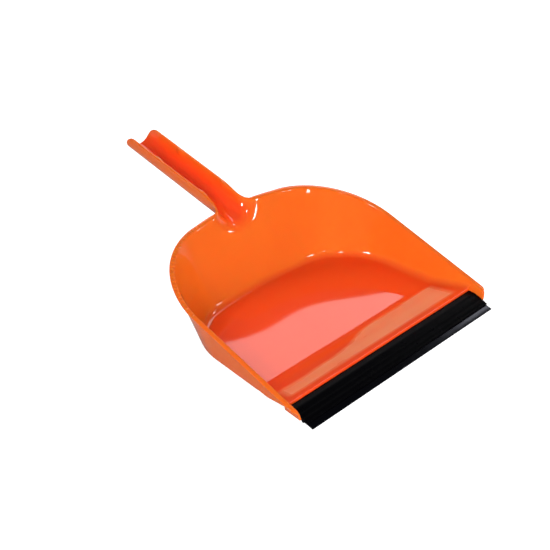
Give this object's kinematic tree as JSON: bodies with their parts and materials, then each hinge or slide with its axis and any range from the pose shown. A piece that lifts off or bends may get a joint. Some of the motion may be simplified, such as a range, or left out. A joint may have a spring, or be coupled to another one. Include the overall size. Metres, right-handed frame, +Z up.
{
  "type": "hand dustpan",
  "caption": "Hand dustpan: glossy moulded pan with leaning walls and a rim flange, an open channel handle that holds a brush, and a black clip-on lip with a soft hinged blade.",
  "frame": {"origin": "middle of the footprint, on the ground", "axes": "+Y from the lip to the handle's end, +Z up, +X to the right seen from the lip"},
  "size_m": [0.2334, 0.327, 0.0931],
  "materials": {
    "orange_polypropylene": "glossy moulded",
    "black_lip_firm": "satin extruded",
    "black_lip_soft": "smooth extruded"
  },
  "bodies": {
    "pan": {"pan_moulding": "orange_polypropylene", "lip_clip": "black_lip_firm"},
    "blade": {"lip_blade": "black_lip_soft"}
  },
  "joints": [
    {"name": "blade_flex", "type": "hinge", "parent": "pan", "child": "blade", "pos_m": [0, -0.1535, 0.0024], "axis": [-1, 0, 0], "range_deg": [-15, 8], "stiffness_Nm_per_rad": 0.02}
  ]
}
